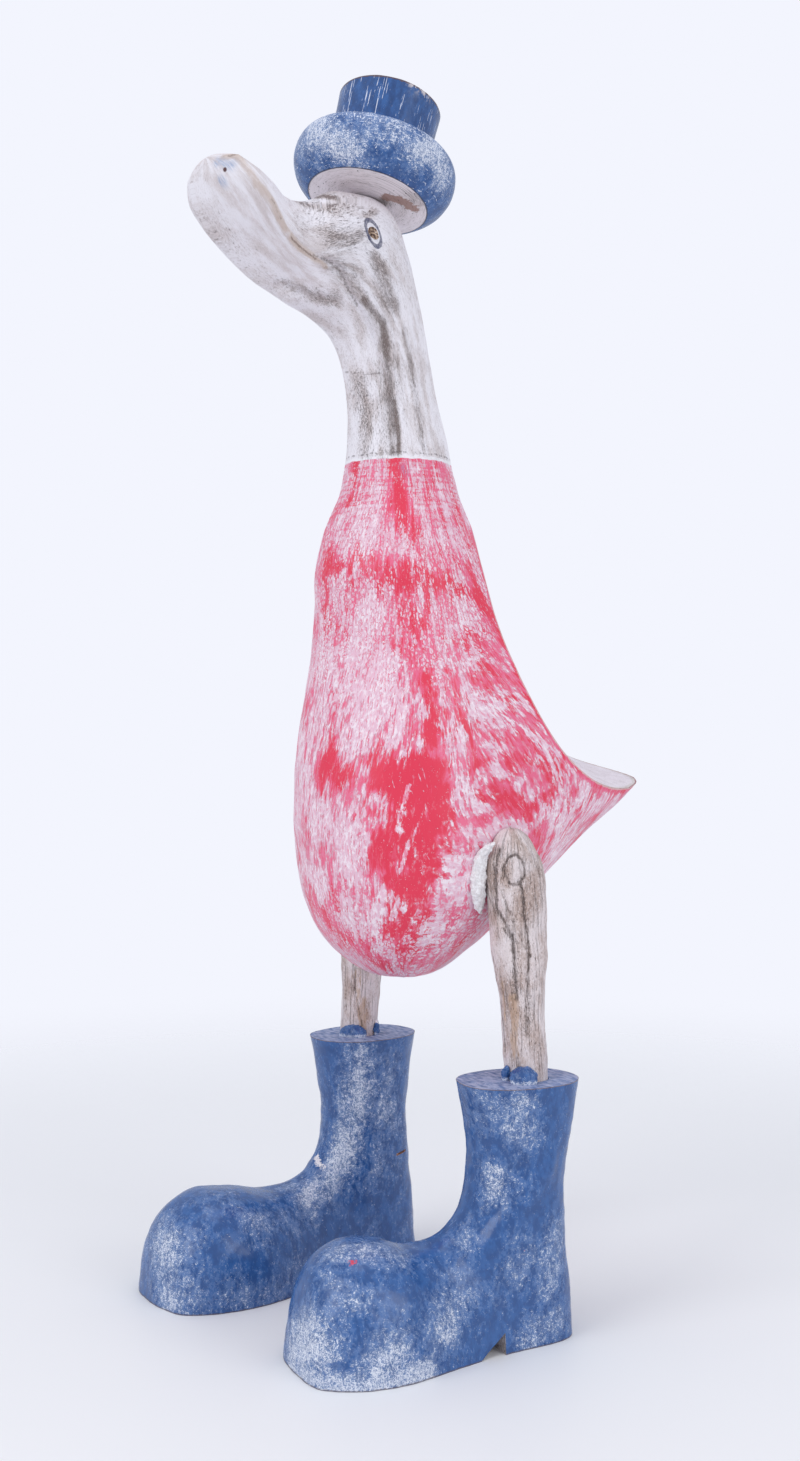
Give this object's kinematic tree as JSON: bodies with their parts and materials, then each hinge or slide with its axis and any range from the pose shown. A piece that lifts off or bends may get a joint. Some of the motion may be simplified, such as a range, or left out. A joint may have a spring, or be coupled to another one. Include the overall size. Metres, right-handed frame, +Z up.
{
  "type": "carved wooden duck",
  "caption": "Upright carved wooden duck with a long neck, standing in tall boots and wearing a small turned brimmed hat; paint worn and whitewashed.",
  "frame": {"origin": "on the ground, under the middle of the whole duck's box", "axes": "+Z up the duck; it looks along -Y, its tail points along +Y, and its left side is +X"},
  "size_m": [0.1556, 0.2092, 0.4858],
  "materials": {
    "duck_paint": "bamboo root in red paint under a streaky whitewash, worn through in places; the neck, head and bill whitewashed over grey-brown grain; matt",
    "hat_paint": "turned softwood in blue paint, rubbed back to white along the grain and edges; matt",
    "boot_paint": "carved softwood in glossy blue paint, rubbed pale on the high places and chipped to bare wood at edges",
    "leg_wood": "carved softwood under a thin grey-white wash, with dark grain and bare beige patches; matt"
  },
  "bodies": {
    "root": {"duck_body": "duck_paint", "hat": "hat_paint", "left_leg": "leg_wood", "left_boot": "boot_paint", "right_leg": "leg_wood", "right_boot": "boot_paint"}
  },
  "joints": []
}
